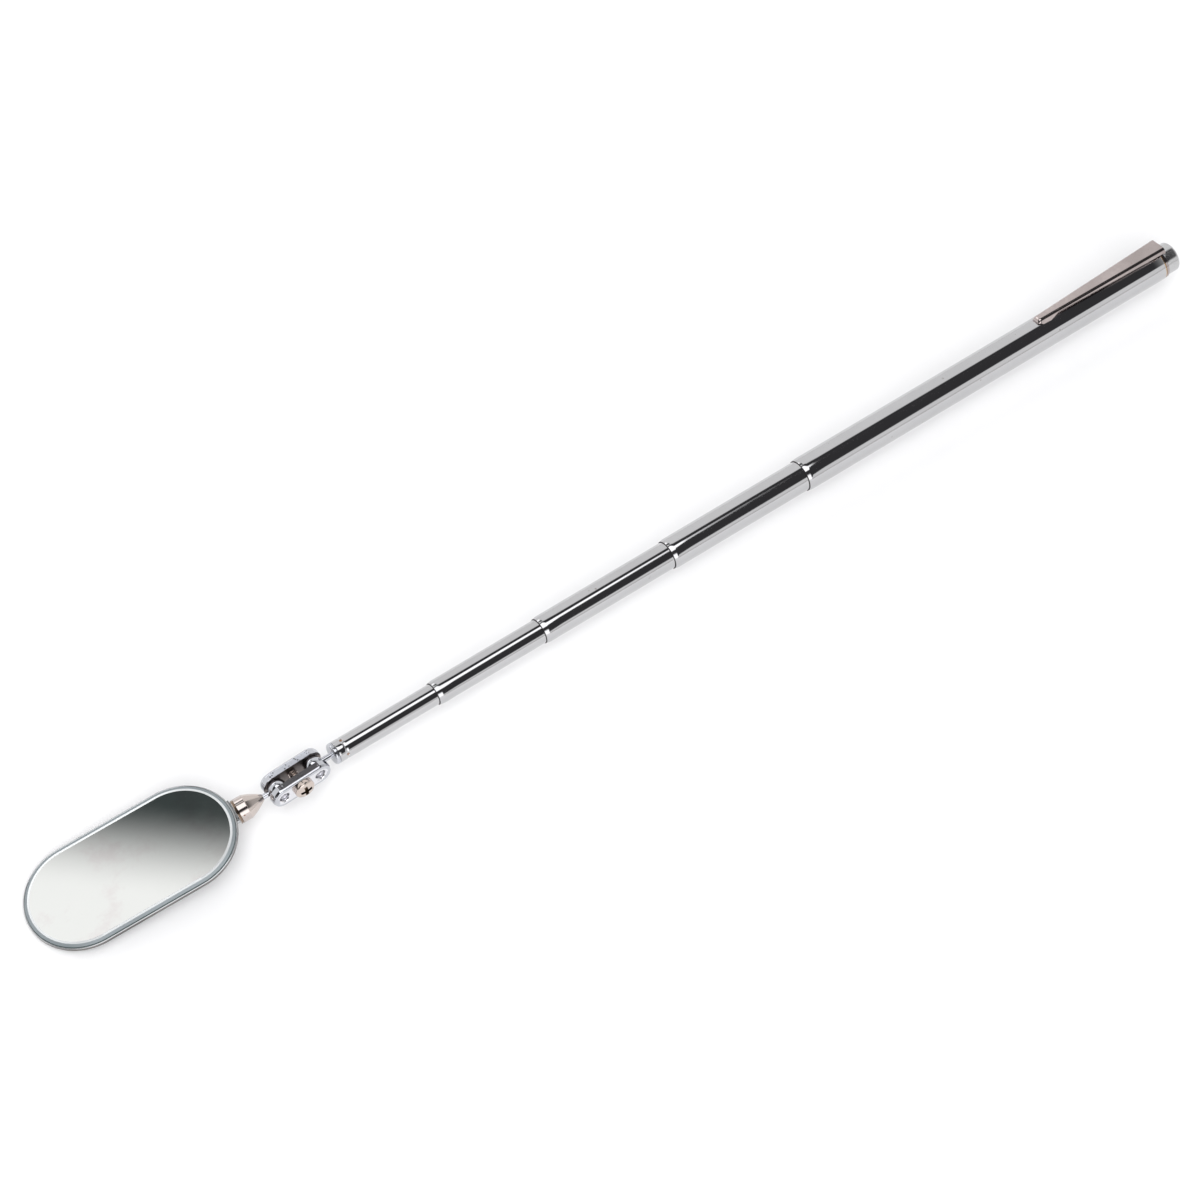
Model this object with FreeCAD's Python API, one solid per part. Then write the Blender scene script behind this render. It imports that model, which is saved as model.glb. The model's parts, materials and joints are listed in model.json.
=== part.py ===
import FreeCAD, Part
import math
import os

from FreeCAD import Placement, Rotation, Vector

# Telescoping inspection mirror. Millimetres, +Z up. The origin is the middle of the barrel, on its axis.
# +X runs along the shaft from the mirror to the end cap, and the mirror faces up.

# ---- telescoping shaft ----
WALL = 0.22
BARREL_RADIUS = 3.70
RADIUS_STEP = 0.35
TUBE_RADIUS = {n: BARREL_RADIUS - RADIUS_STEP * (n - 1) for n in (1, 2, 3, 4, 5)}
BARREL_LENGTH = 97.6
TUBE_LENGTH = {2: 92.0, 3: 88.0, 4: 84.0, 5: 80.0}
# how far each tube stands out of the one around it
EXPOSED = {2: 34.5, 3: 32.2, 4: 25.95, 5: 23.55}

LIP_LENGTH = 1.4
LIP_LAND = 0.5
LIP_PROUD = 0.14
MOUTH_CLEARANCE = 0.05
EDGE_ROUND = 0.18

# ---- friction sleeve seat at the rear of each moving tube ----
SEAT_DEPTH = 0.21
SEAT_START = 5.05
SEAT_END = 0.75
SEAT_RAMP = 0.15
SLEEVE_PLAY = 0.03
SLEEVE_END_PLAY = 0.05
SLEEVE_SLIT = 0.5

# ---- rear of the barrel: bush, clip ring, cap ----
BUSH_LENGTH = 5.0
BUSH_FLANGE = 0.25
BUSH_FLANGE_RADIUS = 3.58
CAP_STUD_RADIUS = 2.50
CLIP_RING_THICKNESS = 0.60
CLIP_RING_RADIUS = 3.60
CAP_RADIUS = 3.35
CAP_LENGTH = 3.35
CAP_ROUND = 0.60
CAP_STUD_LENGTH = 5.2

# ---- pocket clip ----
CLIP_ROLL = 13.3
CLIP_SHEET = 0.42
CLIP_BEND = 0.75
CLIP_TIP_X = 15.2
CLIP_REAR_HEIGHT = 5.35
CLIP_TIP_HEIGHT = 4.65
CLIP_REAR_HALF = 1.98
CLIP_TIP_HALF = 0.85
CLIP_SPLAY = 0.45
CLIP_FLANGE_REAR = 1.05
CLIP_FLANGE_FRONT = 0.55
CLIP_LOBE_START = 20.6
CLIP_LOBE_LOW = 3.32
CLIP_NOSE_LOW = 3.85
CLIP_FOOT_GAP = 0.03
CLIP_RISER = 0.60
CLIP_RING_PLAY = 0.02
# the lobe's side view: how it dips, where it is lowest, and where it ends at the nose
CLIP_LOBE_EASE = 1.1
CLIP_LOBE_DROP = 0.40
CLIP_LOBE_FLAT = 1.5
CLIP_LOBE_RISE = 0.12
CLIP_NOSE = 0.5
# the tongue that joins the riser to the ring
TONGUE_TOP = 4.2
TONGUE_TOP_HALF = 2.1
TONGUE_LOW = 3.2
TONGUE_LOW_HALF = 1.6
ARM_LOW = 2.4

# ---- plug in the end of the thinnest tube ----
PLUG_FLANGE = 0.85
PLUG_ROUND = 0.45
PLUG_SEAM = 0.05
PLUG_LENGTH = 5.5
PLUG_GROOVE_DEPTH = 0.30
PLUG_GROOVE_FLAT = 0.35
PLUG_GROOVE_HALF = 0.70
CRIMP_COUNT = 4
CRIMP_OFFSET = 1.8
CRIMP_RADIUS = 0.60
CRIMP_DEPTH = 0.14
CRIMP_FIRST_ANGLE = 16.0

# ---- double ball joint ----
BALL_RADIUS = 2.0
ROD_RADIUS = 0.60
ROD_END_GAP = 0.02
BALL_SEAT_GAP = 0.03
BALL_TO_PLUG = 4.31
BALL_SPACING = 8.5
PLATE_WIDTH = 5.0
PLATE_THICKNESS = 1.70
PLATE_GAP = 2.30
PLATE_HOLE_RADIUS = 1.00
PLATE_SINK_RADIUS = 1.35
PLATE_SINK_DEPTH = 0.35
PLATE_EDGE_ROUND = 0.45
SCREW_RADIUS = 1.00
SCREW_HEAD_RADIUS = 2.15
SCREW_HEAD_HEIGHT = 1.40
SCREW_HEAD_DOME = 0.55
SCREW_HEAD_FLAT = 1.40
SCREW_CHAMFER = 0.25
SCREW_END = 0.25
NEAR_PLATE_CLEARANCE = 0.06
TAPPED_PLATE_CLEARANCE = 0.02
RECESS_WIDTH = 0.75
RECESS_SPAN = 2.60
RECESS_DEPTH = 0.80

# ---- pose of the head ----
CLAMP_ROLL = 3.9
CLAMP_SWING = 3.3
MIRROR_SWING = 5.65
MIRROR_TILT = 6.8

# ---- swivel neck ----
NECK_BASE = 9.50
NECK_STRAIGHT = 2.05
NECK_TIP = 3.30
NECK_RADIUS = 2.60
NECK_TIP_RADIUS = 0.70
NECK_BORE_CLEARANCE = 0.04
SWIVEL_CAVITY_RADIUS = 1.40
SWIVEL_CAVITY_START = 5.60
ROD_HEAD_RADIUS = 1.25
ROD_HEAD_START = 5.70
ROD_HEAD_END = 6.40
SWIVEL_PLUG_START = 6.50
SWIVEL_PLUG_END = 7.25

# ---- mirror head ----
HEAD_LENGTH = 45.4
HEAD_WIDTH = 24.0
MIRROR_CENTRE = 32.5
FACE_HEIGHT = 2.60
FRAME_TOP = 2.15
FRAME_BOTTOM = 1.10
FRAME_SHEET = 0.30
FRAME_BOTTOM_ROUND = 0.40
FRAME_RIM_ROUND = 0.10
GLASS_CLEARANCE = 0.04
GLASS_THICKNESS = 1.00
BEVEL_WIDTH = 1.10
BEVEL_DEPTH = 0.30
PAD_INSET = 0.60
BRACKET_THICKNESS = 0.85
BRACKET_HALF_WIDTH = 2.75
BRACKET_TAB_HALF_WIDTH = 2.05
BRACKET_INNER_END = 21.5
BRACKET_TAB_END = 7.6
BRACKET_SLOT_PLAY = 0.03

ORIGIN = Vector(0, 0, 0)
AXIS_X = Vector(1, 0, 0)
AXIS_Y = Vector(0, 1, 0)
AXIS_Z = Vector(0, 0, 1)

BARREL_FRONT = -BARREL_LENGTH / 2
BARREL_REAR = BARREL_LENGTH / 2


def revolved(profile):
    """A solid turned about the X axis. A step is (x, r), or (x, r, middle_x, middle_r) to reach it by an arc."""
    edges = []
    here = profile[0]
    for step in list(profile[1:]) + [profile[0][:2]]:
        start = Vector(here[0], 0, here[1])
        end = Vector(step[0], 0, step[1])
        if len(step) == 4:
            edges.append(Part.Arc(start, Vector(step[2], 0, step[3]), end).toShape())
        else:
            edges.append(Part.makeLine(start, end))
        here = step
    face = Part.Face(Part.Wire(edges))
    return face.revolve(ORIGIN, AXIS_X, 360)


def cylinder_x(radius, start, end):
    """A cylinder on the X axis between two x positions."""
    return Part.makeCylinder(radius, end - start, Vector(start, 0, 0), AXIS_X)


def box_between(low, high):
    size = Vector(*high) - Vector(*low)
    return Part.makeBox(size.x, size.y, size.z, Vector(*low))


def prism(points, direction):
    """A flat polygon pushed along a direction."""
    corners = [Vector(*p) for p in points]
    return Part.Face(Part.makePolygon(corners + corners[:1])).extrude(direction)


def stadium_wire(length, width, centre_x, z):
    """A slot-shaped outline that lies flat, long along X."""
    half = (length - width) / 2
    radius = width / 2
    near = centre_x + half
    far = centre_x - half
    edges = [
        Part.makeLine(Vector(far, -radius, z), Vector(near, -radius, z)),
        Part.Arc(Vector(near, -radius, z), Vector(near + radius, 0, z), Vector(near, radius, z)).toShape(),
        Part.makeLine(Vector(near, radius, z), Vector(far, radius, z)),
        Part.Arc(Vector(far, radius, z), Vector(far - radius, 0, z), Vector(far, -radius, z)).toShape(),
    ]
    return Part.Wire(edges)


def stadium(length, width, centre_x, bottom, top):
    face = Part.Face(stadium_wire(length, width, centre_x, bottom))
    return face.extrude(Vector(0, 0, top - bottom))


def flat_edges(shape, z):
    """The edges of a shape that lie in one horizontal plane."""
    found = []
    for edge in shape.Edges:
        box = edge.BoundBox
        if abs(box.ZMin - z) < 1e-4 and abs(box.ZMax - z) < 1e-4:
            found.append(edge)
    return found


def placed(shape, place):
    copy = shape.copy()
    copy.Placement = place.multiply(copy.Placement)
    return copy


def arc_middle(x, r, size):
    """The middle point of a quarter round of the given size, whose centre is (x, r)."""
    return x + size * math.sqrt(0.5), r + size * math.sqrt(0.5)


# ---- tubes ----


def front_x(number):
    """The x position of a tube's front end."""
    x = BARREL_FRONT
    for n in range(2, number + 1):
        x -= EXPOSED[n]
    return x


def mouth_steps(front, radius, mouth_radius):
    """The outer and inner profile of a rolled-in mouth, each from the front face backwards."""
    shoulder = mouth_radius + LIP_PROUD
    middle_x = front + LIP_LENGTH * 0.35
    middle_r = shoulder + (radius - shoulder) * 0.78
    outer = [(front, shoulder), (front + LIP_LENGTH, radius, middle_x, middle_r)]
    inner = [(front + LIP_LENGTH + 0.35, radius - WALL), (front + LIP_LAND, mouth_radius), (front, mouth_radius)]
    return outer, inner


def moving_tube(number):
    """A telescoping section, with a mouth for the next one and a rear seat for its friction sleeve."""
    radius = TUBE_RADIUS[number]
    front = front_x(number)
    rear = front + TUBE_LENGTH[number]
    seat_front = rear - SEAT_START
    seat_rear = rear - SEAT_END
    if number < 5:
        outer, inner = mouth_steps(front, radius, TUBE_RADIUS[number + 1] + MOUTH_CLEARANCE)
    else:
        middle = arc_middle(0, radius - EDGE_ROUND, EDGE_ROUND)
        outer = [
            (front, radius - EDGE_ROUND),
            (front + EDGE_ROUND, radius, front + EDGE_ROUND - middle[0], middle[1]),
        ]
        inner = [(front, radius - WALL)]
    seat = radius - SEAT_DEPTH
    profile = outer + [
        (seat_front - SEAT_RAMP, radius),
        (seat_front, seat),
        (seat_rear, seat),
        (seat_rear + SEAT_RAMP, radius),
        (rear, radius),
        (rear, radius - WALL),
        (seat_rear + SEAT_RAMP, radius - WALL),
        (seat_rear, seat - WALL),
        (seat_front, seat - WALL),
        (seat_front - SEAT_RAMP, radius - WALL),
    ]
    return revolved(profile + inner)


def friction_sleeve(number):
    """The split spring sleeve that grips the bore of the next tube out."""
    rear = front_x(number) + TUBE_LENGTH[number]
    start = rear - SEAT_START + SLEEVE_END_PLAY
    end = rear - SEAT_END - SLEEVE_END_PLAY
    inner = TUBE_RADIUS[number] - SEAT_DEPTH + SLEEVE_PLAY
    outer = TUBE_RADIUS[number - 1] - WALL - SLEEVE_PLAY
    ring = cylinder_x(outer, start, end).cut(cylinder_x(inner, start - 1, end + 1))
    slit = box_between((start - 1, -SLEEVE_SLIT / 2, -outer - 1), (end + 1, SLEEVE_SLIT / 2, 0))
    return ring.cut(slit)


def barrel():
    radius = BARREL_RADIUS
    outer, inner = mouth_steps(BARREL_FRONT, radius, TUBE_RADIUS[2] + MOUTH_CLEARANCE)
    middle = arc_middle(BARREL_REAR - EDGE_ROUND, radius - EDGE_ROUND, EDGE_ROUND)
    profile = outer + [
        (BARREL_REAR - EDGE_ROUND, radius),
        (BARREL_REAR, radius - EDGE_ROUND, middle[0], middle[1]),
        (BARREL_REAR, radius - WALL),
    ]
    return revolved(profile + inner)


def crimped_tube():
    """The thinnest tube, with the punch marks that hold its plug."""
    shape = moving_tube(5)
    x = front_x(5) + CRIMP_OFFSET
    reach = TUBE_RADIUS[5] + CRIMP_RADIUS - CRIMP_DEPTH
    for i in range(CRIMP_COUNT):
        angle = math.radians(CRIMP_FIRST_ANGLE + i * 360 / CRIMP_COUNT)
        centre = Vector(x, reach * math.sin(angle), reach * math.cos(angle))
        shape = shape.cut(Part.makeSphere(CRIMP_RADIUS, centre))
    return shape


# ---- rear of the barrel ----

RING_FRONT = BARREL_REAR + BUSH_FLANGE
RING_REAR = RING_FRONT + CLIP_RING_THICKNESS


def rear_bush():
    body = cylinder_x(BARREL_RADIUS - WALL - 0.01, BARREL_REAR - BUSH_LENGTH, BARREL_REAR)
    flange = cylinder_x(BUSH_FLANGE_RADIUS, BARREL_REAR, RING_FRONT)
    bore = cylinder_x(CAP_STUD_RADIUS + 0.01, BARREL_REAR - BUSH_LENGTH - 1, RING_FRONT + 1)
    return body.fuse(flange).removeSplitter().cut(bore)


def end_cap():
    """The domed cap, whose stud screws into the bush."""
    end = RING_REAR + CAP_LENGTH
    edge = end - CAP_ROUND
    middle = arc_middle(edge, CAP_RADIUS - CAP_ROUND, CAP_ROUND)
    profile = [
        (RING_REAR - CAP_STUD_LENGTH, 0),
        (RING_REAR - CAP_STUD_LENGTH, CAP_STUD_RADIUS - 0.3),
        (RING_REAR - CAP_STUD_LENGTH + 0.3, CAP_STUD_RADIUS),
        (RING_REAR, CAP_STUD_RADIUS),
        (RING_REAR, CAP_RADIUS - 0.12),
        (RING_REAR + 0.12, CAP_RADIUS),
        (edge, CAP_RADIUS),
        (end, CAP_RADIUS - CAP_ROUND, middle[0], middle[1]),
        (end, 0),
    ]
    return revolved(profile)


def along_clip(x, tip_value, rear_value):
    """A value that changes evenly from the clip's tip to its rear."""
    return tip_value + (x - CLIP_TIP_X) / (RING_REAR - CLIP_TIP_X) * (rear_value - tip_value)


def clip_block(inset, low, start, end):
    """A tapering block whose top slopes to the tip and whose sides splay outwards going down."""
    rings = {}
    for level in ("top", "low"):
        corners = []
        for x in (start, end):
            top = along_clip(x, CLIP_TIP_HEIGHT, CLIP_REAR_HEIGHT) - inset
            z = top if level == "top" else low
            half = along_clip(x, CLIP_TIP_HALF, CLIP_REAR_HALF) - inset + CLIP_SPLAY * (top - z)
            corners.append((x, half, z))
        (x0, h0, z0), (x1, h1, z1) = corners
        rings[level] = [Vector(x0, -h0, z0), Vector(x1, -h1, z1), Vector(x1, h1, z1), Vector(x0, h0, z0)]
    faces = []
    for ring in rings.values():
        faces.append(Part.Face(Part.makePolygon(ring + ring[:1])))
    for i in range(4):
        j = (i + 1) % 4
        side = [rings["top"][i], rings["top"][j], rings["low"][j], rings["low"][i]]
        faces.append(Part.Face(Part.makePolygon(side + side[:1])))
    block = Part.Solid(Part.Shell(faces))
    if block.Volume < 0:
        block.reverse()
    return block


def clip_outline(low):
    """The side view of the clip's flanges, with the rounded lobe near the tip that presses on the barrel."""
    riser = RING_FRONT - CLIP_RISER
    rear = Vector(riser, 0, CLIP_REAR_HEIGHT - CLIP_FLANGE_REAR)
    nose = CLIP_TIP_X + CLIP_NOSE
    beyond = CLIP_TIP_X - 1
    lobe_top = along_clip(CLIP_LOBE_START, CLIP_TIP_HEIGHT, CLIP_REAR_HEIGHT) - CLIP_FLANGE_FRONT
    lobe_middle = (CLIP_LOBE_START + CLIP_TIP_X) / 2
    lobe = Part.BSplineCurve()
    lobe.interpolate([
        Vector(CLIP_LOBE_START, 0, lobe_top),
        Vector(CLIP_LOBE_START - CLIP_LOBE_EASE, 0, lobe_top - CLIP_LOBE_DROP),
        Vector(lobe_middle, 0, CLIP_LOBE_LOW),
        Vector(lobe_middle - CLIP_LOBE_FLAT, 0, CLIP_LOBE_LOW + CLIP_LOBE_RISE),
        Vector(nose, 0, CLIP_NOSE_LOW),
    ])
    above = CLIP_REAR_HEIGHT + 1
    rest = [
        Vector(nose, 0, CLIP_NOSE_LOW),
        Vector(beyond, 0, CLIP_NOSE_LOW),
        Vector(beyond, 0, above),
        Vector(RING_REAR + 1, 0, above),
        Vector(RING_REAR + 1, 0, low),
        Vector(riser, 0, low),
        rear,
        Vector(CLIP_LOBE_START, 0, lobe_top),
    ]
    wire = Part.Wire([lobe.toShape()] + Part.makePolygon(rest).Edges)
    face = Part.Face(wire)
    face.translate(Vector(0, -5, 0))
    return face.extrude(Vector(0, 10, 0))


def top_edges(block):
    return [e for e in block.Edges if e.BoundBox.ZMin > CLIP_NOSE_LOW]


def pocket_clip():
    """A folded sheet clip: a tapering channel on a riser, with a ring that the cap traps."""
    low = ARM_LOW
    arm = clip_block(0.0, low, CLIP_TIP_X, RING_REAR)
    arm = arm.makeFillet(CLIP_BEND, top_edges(arm))
    hollow = clip_block(CLIP_SHEET, low - 1, CLIP_TIP_X + CLIP_SHEET, RING_FRONT)
    hollow = hollow.makeFillet(CLIP_BEND - CLIP_SHEET, top_edges(hollow))
    arm = arm.cut(hollow)
    arm = arm.common(clip_outline(low))
    # the flanges stop at the riser
    riser = RING_FRONT - CLIP_RISER
    arm = arm.cut(box_between((riser, -5, low - 1), (RING_FRONT, 5, CLIP_REAR_HEIGHT - CLIP_FLANGE_REAR)))
    # the riser narrows to a tongue as it meets the ring
    for side in (-1, 1):
        outline = [
            (5, TONGUE_TOP),
            (TONGUE_TOP_HALF, TONGUE_TOP),
            (TONGUE_LOW_HALF, TONGUE_LOW),
            (TONGUE_LOW_HALF, low - 1),
            (5, low - 1),
        ]
        corner = [(RING_FRONT - 0.1, side * y, z) for y, z in outline]
        arm = arm.cut(prism(corner, Vector(CLIP_RING_THICKNESS + 0.2, 0, 0)))
    ring = cylinder_x(CLIP_RING_RADIUS, RING_FRONT, RING_REAR)
    clip = arm.fuse(ring).cut(cylinder_x(CAP_STUD_RADIUS + CLIP_RING_PLAY, RING_FRONT - 1, RING_REAR + 1))
    clear = cylinder_x(BARREL_RADIUS + CLIP_FOOT_GAP, CLIP_TIP_X - 2, RING_FRONT)
    clip = clip.cut(clear).removeSplitter()
    return placed(clip, Placement(ORIGIN, Rotation(AXIS_X, -CLIP_ROLL)))


# ---- plug, studs and balls ----

PLUG_FRONT = front_x(5) - PLUG_SEAM - PLUG_FLANGE
BALL_A_X = PLUG_FRONT - BALL_TO_PLUG


def tube_plug():
    radius = TUBE_RADIUS[5]
    front = PLUG_FRONT
    back = front + PLUG_FLANGE
    middle = arc_middle(0, radius - PLUG_ROUND, PLUG_ROUND)
    seat = radius - WALL - 0.01
    groove = front_x(5) + CRIMP_OFFSET
    profile = [
        (front, ROD_RADIUS + 0.01),
        (front, radius - PLUG_ROUND),
        (front + PLUG_ROUND, radius, front + PLUG_ROUND - middle[0], middle[1]),
        (back, radius),
        (back, seat),
        (groove - PLUG_GROOVE_HALF, seat),
        (groove - PLUG_GROOVE_FLAT, seat - PLUG_GROOVE_DEPTH),
        (groove + PLUG_GROOVE_FLAT, seat - PLUG_GROOVE_DEPTH),
        (groove + PLUG_GROOVE_HALF, seat),
        (back + PLUG_LENGTH, seat),
        (back + PLUG_LENGTH, ROD_RADIUS + 0.01),
    ]
    return revolved(profile)


def shaft_stud():
    """The rod fixed in the plug. Its end is hollowed to lie against the ball."""
    rod = cylinder_x(ROD_RADIUS, BALL_A_X + 1.0, PLUG_FRONT + PLUG_LENGTH)
    return rod.cut(Part.makeSphere(BALL_RADIUS + ROD_END_GAP, Vector(BALL_A_X, 0, 0)))


# ---- poses of the clamp and of the mirror head ----

roll = Rotation(AXIS_X, -CLAMP_ROLL)
clamp_turn = roll.multiply(Rotation(AXIS_Y, -CLAMP_SWING))
# the clamp's own frame has its origin on the shaft-side ball, with +X towards the shaft
clamp_place = Placement(Vector(BALL_A_X, 0, 0), clamp_turn)
ball_b = clamp_place.multVec(Vector(-BALL_SPACING, 0, 0))
head_turn = clamp_turn.multiply(Rotation(AXIS_Y, -MIRROR_SWING)).multiply(Rotation(AXIS_Z, -MIRROR_TILT))
# the head's own frame has its origin on the mirror-side ball, with the mirror towards -X, facing +Z
head_place = Placement(ball_b, head_turn)


def stud_hole(x, side, radius, start, end):
    """A drill across a plate at x; side is -1 for the near plate and 1 for the far one."""
    return Part.makeCylinder(radius, end - start, Vector(x, side * start, 0), Vector(0, side, 0))


def clamp_plate(side, screw_hole_radius):
    """One of the two plates, in the clamp's frame, with a seat for each ball and a hole for the screw."""
    inner = PLATE_GAP / 2
    outer = inner + PLATE_THICKNESS
    length = BALL_SPACING + PLATE_WIDTH
    plate = stadium(length, PLATE_WIDTH, -BALL_SPACING / 2, 0, PLATE_THICKNESS)
    # the sheared blank has one rounded face, which is turned outwards
    plate = plate.makeFillet(PLATE_EDGE_ROUND, flat_edges(plate, PLATE_THICKNESS))
    upright = Placement(Vector(0, side * inner, 0), Rotation(AXIS_X, -90 * side))
    plate = placed(plate, upright)
    for x in (0, -BALL_SPACING):
        plate = plate.cut(Part.makeSphere(BALL_RADIUS + BALL_SEAT_GAP, Vector(x, 0, 0)))
        plate = plate.cut(stud_hole(x, side, PLATE_HOLE_RADIUS, inner - 1, outer + 1))
        sink = Part.makeCone(
            PLATE_HOLE_RADIUS,
            PLATE_SINK_RADIUS,
            PLATE_SINK_DEPTH,
            Vector(x, side * (outer - PLATE_SINK_DEPTH), 0),
            Vector(0, side, 0),
        )
        plate = plate.cut(sink)
    plate = plate.cut(stud_hole(-BALL_SPACING / 2, side, screw_hole_radius, inner - 1, outer + 1))
    return placed(plate, clamp_place)


def clamp_screw():
    """A pan-head screw with a cross recess, through the near plate into the tapped far plate."""
    face = PLATE_GAP / 2 + PLATE_THICKNESS
    head_start = face + 0.02
    head_top = head_start + SCREW_HEAD_HEIGHT
    rim = head_top - SCREW_HEAD_DOME
    tail = -(face + SCREW_END)
    # turned about X, then swung to point along the clamp's -Y
    profile = [
        (tail, 0),
        (tail, SCREW_RADIUS - SCREW_CHAMFER),
        (tail + SCREW_CHAMFER, SCREW_RADIUS),
        (head_start, SCREW_RADIUS),
        (head_start, SCREW_HEAD_RADIUS),
        (rim, SCREW_HEAD_RADIUS),
        (head_top, SCREW_HEAD_FLAT, rim + SCREW_HEAD_DOME * 0.75, SCREW_HEAD_RADIUS - 0.28),
        (head_top, 0),
    ]
    screw = revolved(profile)
    floor = head_top - RECESS_DEPTH
    half = RECESS_WIDTH / 2
    span = RECESS_SPAN / 2
    for size in ((half, span), (span, half)):
        screw = screw.cut(box_between((floor, -size[0], -size[1]), (head_top + 1, size[0], size[1])))
    turn = Placement(Vector(-BALL_SPACING / 2, 0, 0), Rotation(AXIS_Z, -90))
    return placed(placed(screw, turn), clamp_place)


# ---- mirror head, built in the head's own frame ----


def mirror_stud():
    """The rod from the mirror-side ball, with a head that turns inside the neck."""
    rod = cylinder_x(ROD_RADIUS, -ROD_HEAD_END, -1.0)
    head = cylinder_x(ROD_HEAD_RADIUS, -ROD_HEAD_END, -ROD_HEAD_START)
    stud = rod.fuse(head).removeSplitter()
    stud = stud.cut(Part.makeSphere(BALL_RADIUS + ROD_END_GAP, ORIGIN))
    return placed(stud, head_place)


def bracket_block(play, inner_x, outer_x, half_width):
    top = FRAME_BOTTOM + play
    bottom = FRAME_BOTTOM - BRACKET_THICKNESS - play
    return box_between((-inner_x, -half_width - play, bottom), (-outer_x, half_width + play, top))


def neck():
    """The tapered swivel neck between the rod and the frame."""
    bore = ROD_RADIUS + NECK_BORE_CLEARANCE
    profile = [
        (-NECK_BASE, SWIVEL_CAVITY_RADIUS),
        (-NECK_BASE, NECK_RADIUS - 0.1),
        (-NECK_BASE + 0.1, NECK_RADIUS),
        (-NECK_BASE + NECK_STRAIGHT, NECK_RADIUS),
        (-NECK_TIP, NECK_TIP_RADIUS),
        (-NECK_TIP, bore),
        (-SWIVEL_CAVITY_START, bore),
        (-SWIVEL_CAVITY_START, SWIVEL_CAVITY_RADIUS),
    ]
    slot = bracket_block(BRACKET_SLOT_PLAY, NECK_BASE + 1, BRACKET_TAB_END, BRACKET_TAB_HALF_WIDTH)
    return placed(revolved(profile).cut(slot), head_place)


def swivel_plug():
    """The disc pressed in behind the rod's head, so that the rod can turn but not pull out."""
    disc = cylinder_x(SWIVEL_CAVITY_RADIUS - 0.01, -SWIVEL_PLUG_END, -SWIVEL_PLUG_START)
    return placed(disc, head_place)


def back_bracket():
    """The strip on the back of the frame, whose tab sits in the neck."""
    strip = bracket_block(0.0, BRACKET_INNER_END, NECK_BASE + 0.05, BRACKET_HALF_WIDTH)
    strip = strip.makeFillet(1.5, [e for e in strip.Edges if is_upright_at(e, -BRACKET_INNER_END)])
    tab = bracket_block(0.0, BRACKET_INNER_END - 2, BRACKET_TAB_END, BRACKET_TAB_HALF_WIDTH)
    return placed(strip.fuse(tab).removeSplitter(), head_place)


def is_upright_at(edge, x):
    box = edge.BoundBox
    return box.ZLength > 0.1 and abs(box.XMin - x) < 1e-4 and abs(box.XMax - x) < 1e-4


def mirror_frame():
    """The pressed cup that holds the glass."""
    cup = stadium(HEAD_LENGTH, HEAD_WIDTH, -MIRROR_CENTRE, FRAME_BOTTOM, FRAME_TOP)
    cup = cup.makeFillet(FRAME_BOTTOM_ROUND, flat_edges(cup, FRAME_BOTTOM))
    floor = FRAME_BOTTOM + FRAME_SHEET
    thin = 2 * FRAME_SHEET
    hollow = stadium(HEAD_LENGTH - thin, HEAD_WIDTH - thin, -MIRROR_CENTRE, floor, FRAME_TOP + 1)
    cup = cup.cut(hollow)
    rim = flat_edges(cup, FRAME_TOP)
    return placed(cup.makeFillet(FRAME_RIM_ROUND, rim), head_place)


GLASS_LENGTH = HEAD_LENGTH - 2 * (FRAME_SHEET + GLASS_CLEARANCE)
GLASS_WIDTH = HEAD_WIDTH - 2 * (FRAME_SHEET + GLASS_CLEARANCE)


def mirror_glass():
    """The bevelled glass, which stands a little proud of the frame."""
    bevel_start = FACE_HEIGHT - BEVEL_DEPTH
    body = stadium(GLASS_LENGTH, GLASS_WIDTH, -MIRROR_CENTRE, FACE_HEIGHT - GLASS_THICKNESS, bevel_start)
    narrow = 2 * BEVEL_WIDTH
    low = stadium_wire(GLASS_LENGTH, GLASS_WIDTH, -MIRROR_CENTRE, bevel_start)
    high = stadium_wire(GLASS_LENGTH - narrow, GLASS_WIDTH - narrow, -MIRROR_CENTRE, FACE_HEIGHT)
    bevel = Part.makeLoft([low, high], True, True)
    return placed(body.fuse(bevel).removeSplitter(), head_place)


def backing_pad():
    """The felt pad that beds the glass in the frame."""
    thin = 2 * PAD_INSET
    bottom = FRAME_BOTTOM + FRAME_SHEET
    top = FACE_HEIGHT - GLASS_THICKNESS
    pad = stadium(GLASS_LENGTH - thin, GLASS_WIDTH - thin, -MIRROR_CENTRE, bottom, top)
    return placed(pad, head_place)


nodes = {
    "barrel_tube": barrel(),
    "rear_bush": rear_bush(),
    "pocket_clip": pocket_clip(),
    "end_cap": end_cap(),
    "tube_5": crimped_tube(),
    "tube_plug": tube_plug(),
    "shaft_stud": shaft_stud(),
    "shaft_ball": Part.makeSphere(BALL_RADIUS, Vector(BALL_A_X, 0, 0)),
    "clamp_plate_near": clamp_plate(-1, SCREW_RADIUS + NEAR_PLATE_CLEARANCE),
    "clamp_plate_far": clamp_plate(1, SCREW_RADIUS + TAPPED_PLATE_CLEARANCE),
    "clamp_screw": clamp_screw(),
    "mirror_ball": Part.makeSphere(BALL_RADIUS, ball_b),
    "mirror_stud": mirror_stud(),
    "neck": neck(),
    "swivel_plug": swivel_plug(),
    "back_bracket": back_bracket(),
    "mirror_frame": mirror_frame(),
    "backing_pad": backing_pad(),
    "mirror_glass": mirror_glass(),
}
for number in (2, 3, 4):
    nodes["tube_%d" % number] = moving_tube(number)
for number in (2, 3, 4, 5):
    nodes["sleeve_%d" % number] = friction_sleeve(number)

os.makedirs("parts", exist_ok=True)
for name, shape in nodes.items():
    shape.exportStep("parts/%s.step" % name)
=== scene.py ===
"""Looks of the telescoping inspection mirror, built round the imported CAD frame. Metres, +Z up."""

import json
import math

import bmesh
import bpy
from mathutils import Matrix, Vector


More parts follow.
